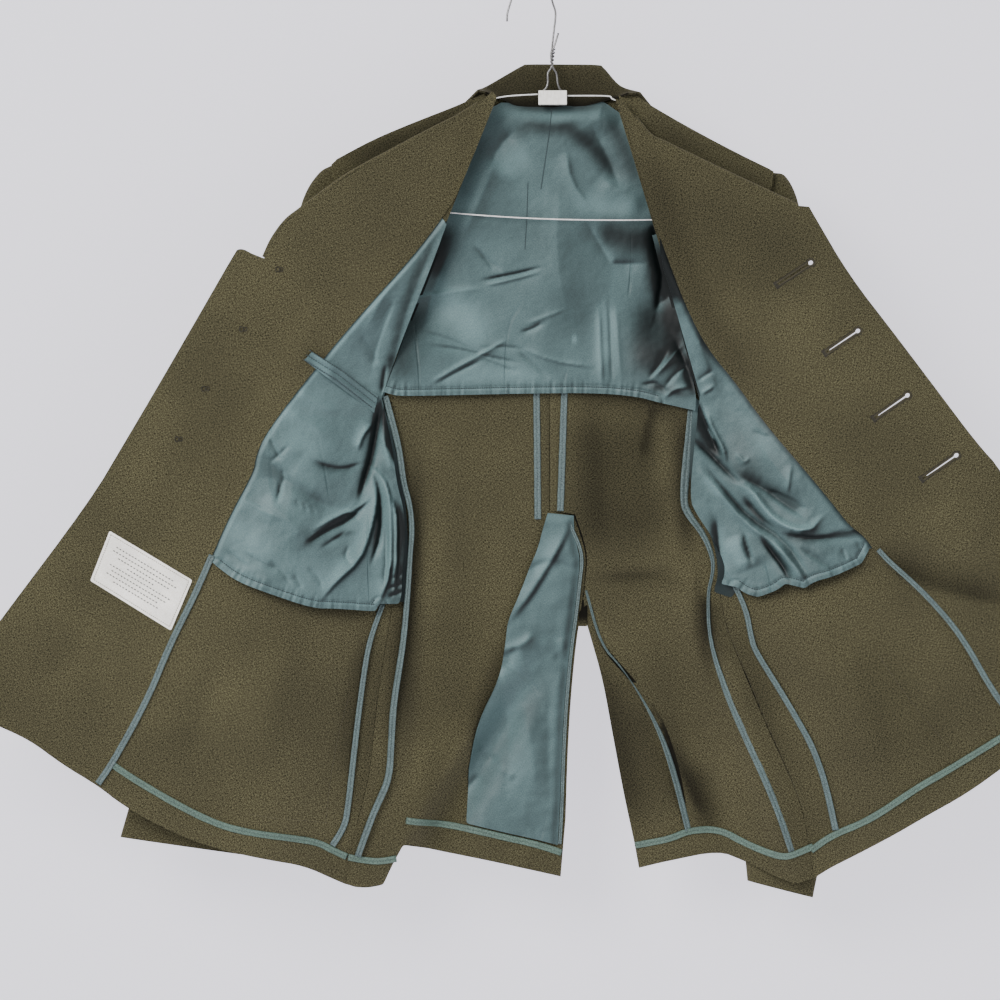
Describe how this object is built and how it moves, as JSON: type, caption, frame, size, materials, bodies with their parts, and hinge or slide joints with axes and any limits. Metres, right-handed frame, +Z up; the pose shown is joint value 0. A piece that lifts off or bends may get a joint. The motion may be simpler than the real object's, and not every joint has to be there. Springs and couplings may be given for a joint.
{
  "type": "dress tunic on wire hanger",
  "caption": "Wool dress tunic hung open on a wire hanger, fronts swung out to show facings, half lining, taped seams and back vent.",
  "frame": {"origin": "inside top of the hanger's hook, where it bears on a rail", "axes": "+Z up, +X to the viewer's right as the inside is seen, +Y away from that viewer, towards the wall behind the tunic"},
  "size_m": [1.1328, 0.0718, 0.8884],
  "materials": {
    "wool": "olive brown wool serge, heathered, matt",
    "lining": "teal grey satin lining, soft sheen",
    "tape": "grey green binding tape",
    "label": "off-white woven cotton, blank",
    "wire": "galvanised wire",
    "clip": "white plastic",
    "brass": "domed metal, plain"
  },
  "bodies": {
    "root": {"back_left": "wool", "back_lining": "lining", "back_right": "wool", "button_1": "brass", "button_2": "brass", "button_3": "brass", "button_4": "brass", "centre_tape_left": "tape", "centre_tape_right": "tape", "collar": "wool", "facing_left": "wool", "facing_right": "wool", "facing_tape_left": "tape", "facing_tape_right": "tape", "flap_button_left": "brass", "flap_button_right": "brass", "flap_left": "wool", "flap_right": "wool", "front_left": "wool", "front_lining_left": "lining", "front_lining_right": "lining", "front_right": "wool", "hanger_clip": "clip", "hanger_frame": "wire", "hanger_hook": "wire", "hanger_stub": "wire", "hem_tape_back_left": "tape", "hem_tape_back_right": "tape", "hem_tape_front_left": "tape", "hem_tape_front_right": "tape", "hem_tape_side_right": "tape", "label": "label", "lapel_left": "wool", "lapel_right": "wool", "pocket_left": "wool", "pocket_right": "wool", "pocket_strap": "lining", "shoulder_left": "wool", "shoulder_right": "wool", "side_tape_back_left": "tape", "side_tape_back_right": "tape", "side_tape_front_left": "tape", "side_tape_front_right": "tape", "topsleeve_left": "wool", "topsleeve_right": "wool", "undersleeve_left": "wool", "undersleeve_right": "wool", "vent_cover": "lining", "vent_edge_tape": "tape", "vent_piping": "tape"}
  },
  "joints": []
}
